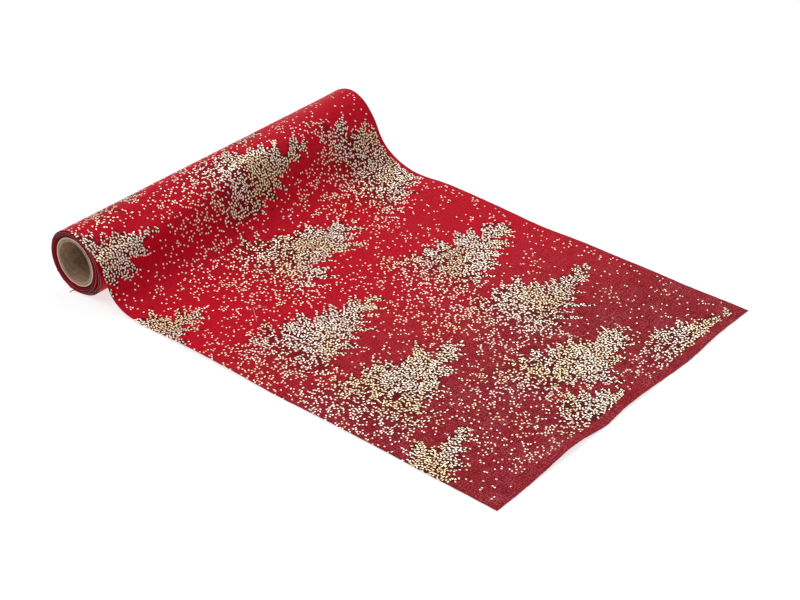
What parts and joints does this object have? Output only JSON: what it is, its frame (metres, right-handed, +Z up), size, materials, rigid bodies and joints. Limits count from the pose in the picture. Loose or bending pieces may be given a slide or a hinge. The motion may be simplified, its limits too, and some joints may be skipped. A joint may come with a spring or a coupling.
{
  "type": "wrapping cloth roll",
  "caption": "Roll of printed wrapping cloth on a card core, its first stretch drawn off over the top of the roll and laid flat.",
  "frame": {"origin": "on the surface the roll rests on, at the middle of the whole object's length and width", "axes": "+X from the roll to the cut edge of the drawn-off cloth, +Y along the roll's axis to the end where the cloth stands off the roll, +Z up"},
  "size_m": [0.3914, 0.28, 0.0522],
  "materials": {
    "kraft_board": "matte",
    "grey_board": "matte",
    "cream_board": "matte",
    "clear_tape": "satin",
    "printed_cloth": "satin"
  },
  "bodies": {
    "outer_turn": {"outer_turn": "printed_cloth"},
    "roll": {"core_inner_ply": "kraft_board", "core_middle_ply": "grey_board", "core_outer_ply": "cream_board", "starter_tape": "clear_tape", "wound_cloth": "printed_cloth"},
    "laid_cloth": {"laid_cloth": "printed_cloth"},
    "cloth_end": {"cloth_end": "printed_cloth"}
  },
  "joints": [
    {"name": "roll_spin", "type": "hinge", "parent": "outer_turn", "child": "roll", "pos_m": [-0.1719, 0, 0.0238], "axis": [0, 1, 0], "continuous": true},
    {"name": "sheet_lift", "type": "hinge", "parent": "outer_turn", "child": "laid_cloth", "pos_m": [-0.0569, 0, 0.00025], "axis": [0, -1, 0], "range_deg": [0, 60]},
    {"name": "end_fold", "type": "hinge", "parent": "laid_cloth", "child": "cloth_end", "pos_m": [0.0694, 0, 0.00025], "axis": [0, -1, 0], "range_deg": [0, 90]}
  ]
}
